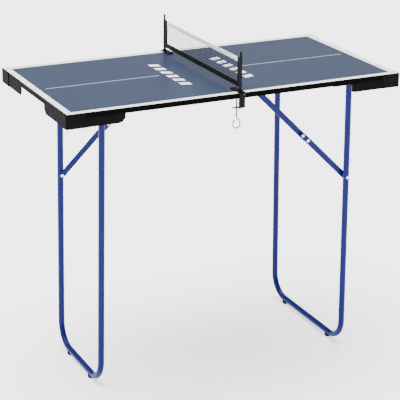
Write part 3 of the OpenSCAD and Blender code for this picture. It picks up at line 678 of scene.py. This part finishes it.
net_sizes = {"Cord": "NodeSocketFloat", "Tie": "NodeSocketFloat", "Knot": "NodeSocketFloat"}
net_sizes["Give"] = "NodeSocketFloat"
net_tree, net_inputs = node_tree("knotted_net", net_sizes)
start = add(net_tree, "NodeGroupInput")
wander = add(net_tree, "ShaderNodeTexNoise", None, {"Scale": 90.0, "Detail": 1.0})
centred = add(net_tree, "ShaderNodeVectorMath", {"operation": "SUBTRACT"})
net_tree.links.new(wander.outputs["Color"], centred.inputs[0])
centred.inputs[1].default_value = (0.5, 0.5, 0.5)
scaled = add(net_tree, "ShaderNodeVectorMath", {"operation": "SCALE"})
net_tree.links.new(centred.outputs[0], scaled.inputs[0])
net_tree.links.new(start.outputs["Give"], scaled.inputs["Scale"])
moved = {"Geometry": start.outputs["Geometry"], "Offset": scaled.outputs[0]}
given = add(net_tree, "GeometryNodeSetPosition", None, moved)
marked = {"Name": "upright"}
is_upright = add(net_tree, "GeometryNodeInputNamedAttribute", {"data_type": "BOOLEAN"}, marked)
is_level = add(net_tree, "FunctionNodeBooleanMath", {"operation": "NOT"})
net_tree.links.new(is_upright.outputs["Attribute"], is_level.inputs[0])
both = add(net_tree, "GeometryNodeJoinGeometry")
for chosen, thickness in ((is_level.outputs[0], "Cord"), (is_upright.outputs["Attribute"], "Tie")):
    picked = {"Mesh": given.outputs[0], "Selection": chosen}
    lines = add(net_tree, "GeometryNodeMeshToCurve", None, picked)
    round_cord = add(net_tree, "GeometryNodeCurvePrimitiveCircle", None, {"Resolution": 6})
    net_tree.links.new(start.outputs[thickness], round_cord.inputs["Radius"])
    swept = {"Curve": lines.outputs[0], "Profile Curve": round_cord.outputs[0], "Fill Caps": True}
    cords = add(net_tree, "GeometryNodeCurveToMesh", None, swept)
    net_tree.links.new(cords.outputs[0], both.inputs[0])
knot = add(net_tree, "GeometryNodeMeshIcoSphere", None, {"Subdivisions": 2})
net_tree.links.new(start.outputs["Knot"], knot.inputs["Radius"])
tied = {"Points": given.outputs[0], "Instance": knot.outputs[0]}
knots = add(net_tree, "GeometryNodeInstanceOnPoints", None, tied)
net_tree.links.new(knots.outputs[0], both.inputs[0])
end_with(net_tree, both.outputs[0], cord_paint)

columns = round((net_high.y - net_low.y) / cell)
rows = round((net_high.z - net_low.z) / cell)
grid = bpy.data.meshes.new("net_grid")
crossings = []
for row in range(rows + 1):
    for column in range(columns + 1):
        across = net_low.y + (net_high.y - net_low.y) * column / columns
        crossings.append((0.0, across, net_low.z + (net_high.z - net_low.z) * row / rows))
stretches = []
upright_ones = []
for row in range(rows + 1):
    for column in range(columns + 1):
        here = row * (columns + 1) + column
        if column < columns:
            stretches.append((here, here + 1))
            upright_ones.append(False)
        if row < rows:
            stretches.append((here, here + columns + 1))
            upright_ones.append(True)
grid.from_pydata(crossings, stretches, [])
grid.attributes.new("upright", "BOOLEAN", "EDGE").data.foreach_set("value", upright_ones)
net_values = {"Cord": cord_radius, "Tie": tie_radius, "Knot": knot_radius, "Give": 0.0010}
knotted = grown(net_tree, net_inputs, net_values, grid)
netting = as_piece("netting", knotted, "net", cord_paint, "net_mesh", "net_mesh")

# ---------------------------------------------------------------------------------------------
# Tapes: woven cotton tape folded over the netting's long edges, white above and black below,
# and sewn through with a row of straight stitches. The fold is soft and puckers a little.


def tape_section(width, thick):
    """The outline of a folded tape, round at the fold and pinched where it is sewn."""
    half, across = width / 2, thick / 2
    outline = []
    for i in range(9):
        turn = math.pi * i / 8
        outline.append((across * math.cos(turn), half - across + across * math.sin(turn)))
    for share in (0.6, 0.3, 0.0, -0.3, -0.6, -0.78):
        outline.append((-across * (0.62 + 0.38 * abs(share) ** 0.5), half * share))
    outline.append((-across * 0.5, -half))
    outline.append((across * 0.5, -half))
    for share in (-0.78, -0.6, -0.3, 0.0, 0.3, 0.6):
        outline.append((across * (0.62 + 0.38 * abs(share) ** 0.5), half * share))
    return outline


def soft_strip(name, section, low_y, high_y, middle_z, pucker, flip=1.0):
    """A closed strip swept along Y, with its section swelling between the stitches."""
    shape = bmesh.new()
    stations = 150
    rings = []
    for i in range(stations + 1):
        share = i / stations
        y = low_y + (high_y - low_y) * share
        swell = 1.0 + pucker * math.sin(share * 71.0) * math.sin(share * 23.0 + 1.3)
        drift = 0.0003 * math.sin(share * 17.0 + 0.6) * math.sin(share * math.pi)
        places = [(x * swell + drift, y, middle_z + flip * z) for x, z in section]
        rings.append([shape.verts.new(place) for place in places])
    for first, second in zip(rings, rings[1:]):
        for i in range(len(section)):
            j = (i + 1) % len(section)
            shape.faces.new((first[i], first[j], second[j], second[i]))
    shape.faces.new(rings[0])
    shape.faces.new(rings[-1])
    bmesh.ops.recalc_face_normals(shape, faces=shape.faces)
    for face in shape.faces:
        face.smooth = len(face.verts) == 4
    mesh = bpy.data.meshes.new(name)
    shape.to_mesh(mesh)
    shape.free()
    return mesh


def woven(name, dark, light, thread=0.0007):
    """A plain weave that runs with Y and Z, in two close shades."""
    paint = Paint(name, roughness=0.8, specular=0.25)
    turn = 2 * math.pi / thread
    warp = (paint.along("Y") * turn).maths("SINE", paint.along("Y") * turn)
    weft = (paint.along("Z") * turn).maths("SINE", paint.along("Z") * turn)
    weave = (warp * weft) * 0.5 + 0.5
    fuzz = paint.noise(1500.0, 3.0)
    paint.set("Base Color", paint.mix((weave * 0.6 + fuzz * 0.4).ramp(0.2, 0.8), dark, light))
    paint.set("Roughness", 0.7 + fuzz * 0.2)
    paint.relief(weave * 0.7 + fuzz * 0.3, 0.00012, 0.8)
    return paint


white_tape = woven("tape_white_cotton", shade(0.84, 0.86, 0.89), shade(0.95, 0.96, 0.98))
black_tape = woven("tape_black_cotton", shade(0.0025, 0.0025, 0.0032), shade(0.008, 0.008, 0.010))
sewing_white = woven("sewing_thread_white", shade(0.60, 0.62, 0.65), shade(0.80, 0.81, 0.83), 0.0004)
dark_thread, light_thread = shade(0.012, 0.012, 0.014), shade(0.035, 0.035, 0.040)
sewing_black = woven("sewing_thread_black", dark_thread, light_thread, 0.0004)

stitch_sizes = {"Length": "NodeSocketFloat", "Radius": "NodeSocketFloat", "Tone": "NodeSocketMaterial"}
stitch_tree, stitch_inputs = node_tree("straight_stitches", stitch_sizes)
start = add(stitch_tree, "NodeGroupInput")
bead = add(stitch_tree, "GeometryNodeMeshUVSphere", None, {"Segments": 6, "Rings": 4, "Radius": 1.0})
long_bead = add(stitch_tree, "ShaderNodeCombineXYZ")
stitch_tree.links.new(start.outputs["Radius"], long_bead.inputs["X"])
stitch_tree.links.new(start.outputs["Length"], long_bead.inputs["Y"])
stitch_tree.links.new(start.outputs["Radius"], long_bead.inputs["Z"])
sewn = {"Points": start.outputs["Geometry"], "Instance": bead.outputs[0]}
sewn["Scale"] = long_bead.outputs[0]
stitch_set = add(stitch_tree, "GeometryNodeInstanceOnPoints", None, sewn)
real = add(stitch_tree, "GeometryNodeRealizeInstances", None, {"Geometry": stitch_set.outputs[0]})
toned = add(stitch_tree, "GeometryNodeSetMaterial", None, {"Geometry": real.outputs[0]})
stitch_tree.links.new(start.outputs["Tone"], toned.inputs["Material"])
out = stitch_tree.nodes.new("NodeGroupOutput")
stitch_tree.links.new(toned.outputs[0], out.inputs[0])


def stitches(name, places, paint, slot, length=0.0011, radius=0.00022):
    """A row of stitches at the given places, each lying along Y."""
    points = bpy.data.meshes.new(name + "_points")
    points.from_pydata(places, [], [])
    values = {"Length": length, "Radius": radius, "Tone": paint.material}
    mesh = grown(stitch_tree, stitch_inputs, values, points)
    for face in mesh.polygons:
        face.use_smooth = True
    return as_piece(name, mesh, "net", paint, slot)


stitch_pitch = 0.0032
for tape, paint, thread, slot, flip in (
    ("top", white_tape, sewing_white, "tape_white", 1.0),
    ("bottom", black_tape, sewing_black, "tape_black", -1.0),
):
    low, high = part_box("net_%s_tape" % tape)
    section = tape_section(high.z - low.z, high.x - low.x)
    middle = (low.z + high.z) / 2
    strip = soft_strip(tape + "_tape", section, low.y, high.y, middle, 0.10, flip)
    as_piece(tape + "_tape_folded", strip, "net", paint, slot, "net_%s_tape" % tape)
    sewn_z = middle - flip * (high.z - low.z) * 0.36
    seam = []
    for i in range(int((high.y - low.y) / stitch_pitch)):
        for face in (-1, 1):
            seam.append((face * (high.x - low.x) * 0.46, low.y + (i + 0.5) * stitch_pitch, sewn_z))
    stitches(tape + "_tape_stitches", seam, thread, slot)

# ---------------------------------------------------------------------------------------------
# Side hems: black tape folded round each rod into a pocket and sewn to the net's ends, open at
# the top and bottom so that the net slides off its rods.

rod_radius = 0.0027
pocket_gap = 0.00025
hem_wall = 0.0008


def hem_outline(inner, outset):
    """A teardrop round the rod with its point at the net, in (x, y) with the rod at the origin."""
    radius = rod_radius + pocket_gap + outset
    points = []
    for i in range(25):
        turn = math.radians(-125 + 250 * i / 24)
        points.append((radius * math.sin(turn), radius * math.cos(turn)))
    neck = 0.0006 + outset * 0.2
    for share in (0.2, 0.45, 0.7, 0.95):
        y = points[-1][1] + (inner - points[-1][1]) * share
        points.append((neck * (1.0 if share > 0.3 else 1.25), y))
    mirrored = [(-x, y) for x, y in points[25:]][::-1]
    return points + mirrored


def hem(side, sign):
    """The folded pocket round one rod and its two rows of stitches; sign points outwards."""
    name = "net_hem_" + side
    low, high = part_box(name)
    rod_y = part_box("net_rod_" + side)
    centre_y = (rod_y[0].y + rod_y[1].y) / 2
    inner = (high.y if sign < 0 else low.y) - centre_y
    outer_line = hem_outline(-abs(inner), hem_wall)
    bore_radius = rod_radius + pocket_gap
    bore_line = []
    for i in range(24):
        turn = math.tau * i / 24
        bore_line.append((math.sin(turn) * bore_radius, math.cos(turn) * bore_radius))
    shape = bmesh.new()
    stations = 40

    def ring(line, share, swell):
        z = low.z + (high.z - low.z) * share
        made = []
        for x, y in line:
            out = sign * y * (swell if y > 0 else 1.0)
            made.append(shape.verts.new((x * swell, centre_y + out, z)))
        return made

    outside, inside = [], []
    for i in range(stations + 1):
        share = i / stations
        swell = 1.0 + 0.05 * math.sin(share * 19.0) * math.sin(share * 7.0 + 0.8)
        outside.append(ring(outer_line, share, swell))
        inside.append(ring(bore_line, share, 1.0))
    for rings in (outside, inside):
        for first, second in zip(rings, rings[1:]):
            for i in range(len(first)):
                j = (i + 1) % len(first)
                shape.faces.new((first[i], first[j], second[j], second[i]))
    for outer_ring, inner_ring in ((outside[0], inside[0]), (outside[-1], inside[-1])):
        edges = []
        for line in (outer_ring, inner_ring):
            for i in range(len(line)):
                edges.append(shape.edges.get((line[i], line[(i + 1) % len(line)])))
        bmesh.ops.triangle_fill(shape, edges=edges, use_beauty=True)
    bmesh.ops.recalc_face_normals(shape, faces=shape.faces)
    for face in shape.faces:
        face.smooth = len(face.verts) == 4
    mesh = bpy.data.meshes.new(name)
    shape.to_mesh(mesh)
    shape.free()
    as_piece(name + "_folded", mesh, "net", black_tape, "tape_black", name)
    seam = []
    for i in range(int((high.z - low.z) / stitch_pitch)):
        for x in (-0.00085, 0.00085):
            for depth in (0.0065, 0.0135):
                seam.append((x, centre_y - sign * depth, low.z + (i + 0.5) * stitch_pitch))
    upright = stitches(name + "_stitches", seam, sewing_black, "tape_black", 0.00022, 0.00022)
    for vert in upright.data.vertices:
        step = (vert.co.z - low.z) / stitch_pitch
        centre = (math.floor(step) + 0.5) * stitch_pitch + low.z
        vert.co.z = centre + (vert.co.z - centre) * 5.0


hem("front", -1)
hem("back", 1)

# ---------------------------------------------------------------------------------------------
# Studio: a pale seamless floor and a pale surround, lit by a wide soft lamp overhead and a
# smaller one from the left. The floor glows faintly, as a lit paper sweep does.

floor_paint = Paint("studio_floor", roughness=0.9, specular=0.1)
paper = floor_paint.mix(floor_paint.noise(2.0), shade(0.95, 0.95, 0.95), shade(0.97, 0.97, 0.97))
floor_paint.set("Base Color", paper)
floor_paint.set("Emission Color", shade(1.0, 1.0, 1.0))
floor_paint.set("Emission Strength", 1.2)
floor_mesh = bpy.data.meshes.new("studio_floor")
reach = 30.0
floor_corners = [(-reach, -reach, 0), (reach, -reach, 0), (reach, reach, 0), (-reach, reach, 0)]
floor_mesh.from_pydata(floor_corners, [], [(0, 1, 2, 3)])
floor_mesh.materials.append(floor_paint.material)
floor = bpy.data.objects.new("studio_floor", floor_mesh)
shown.objects.link(floor)

world = bpy.data.worlds.new("studio")
bpy.context.scene.world = world
world.use_nodes = True
world.node_tree.nodes["Background"].inputs["Color"].default_value = shade(1.0, 1.0, 1.0)
world.node_tree.nodes["Background"].inputs["Strength"].default_value = 0.42


def aimed(name, kind, place, aim, settings):
    """A lamp at a place, pointing at another."""
    light = bpy.data.lights.new(name, kind)
    for key, value in settings.items():
        setattr(light, key, value)
    made = bpy.data.objects.new(name, light)
    shown.objects.link(made)
    made.location = place
    made.rotation_euler = (Vector(aim) - Vector(place)).to_track_quat("-Z", "Y").to_euler()


aimed("overhead", "SUN", (-0.3, 0.5, 4.0), (0, 0, 0), {"energy": 8.5, "angle": math.radians(55)})
aimed("left", "AREA", (-3.4, -1.4, 1.7), (0, 0, 0.6), {"energy": 24.0, "size": 1.6, "shape": "SQUARE"})

# ---------------------------------------------------------------------------------------------
# Camera: a long lens a little above the table, near its left front corner.

view_turn, view_rise, view_roll = math.radians(-26.34), math.radians(20.33), math.radians(0.64)
view_distance = 3.722
look_at = Vector((0.0025, 0.0, 0.4099))
back = Vector((
    math.sin(view_turn) * math.cos(view_rise),
    -math.cos(view_turn) * math.cos(view_rise),
    math.sin(view_rise),
))
level = Vector((0, 0, 1)).cross(back).normalized()
upright = back.cross(level)
right = math.cos(view_roll) * level + math.sin(view_roll) * upright
above = math.cos(view_roll) * upright - math.sin(view_roll) * level
camera_data = bpy.data.cameras.new("camera")
camera_data.lens = 127.8
camera_data.sensor_width = 36.0
camera_data.clip_end = 100.0
camera = bpy.data.objects.new("camera", camera_data)
shown.objects.link(camera)
camera.matrix_world = Matrix((right, above, back)).transposed().to_4x4()
camera.location = look_at + back * view_distance
bpy.context.scene.camera = camera
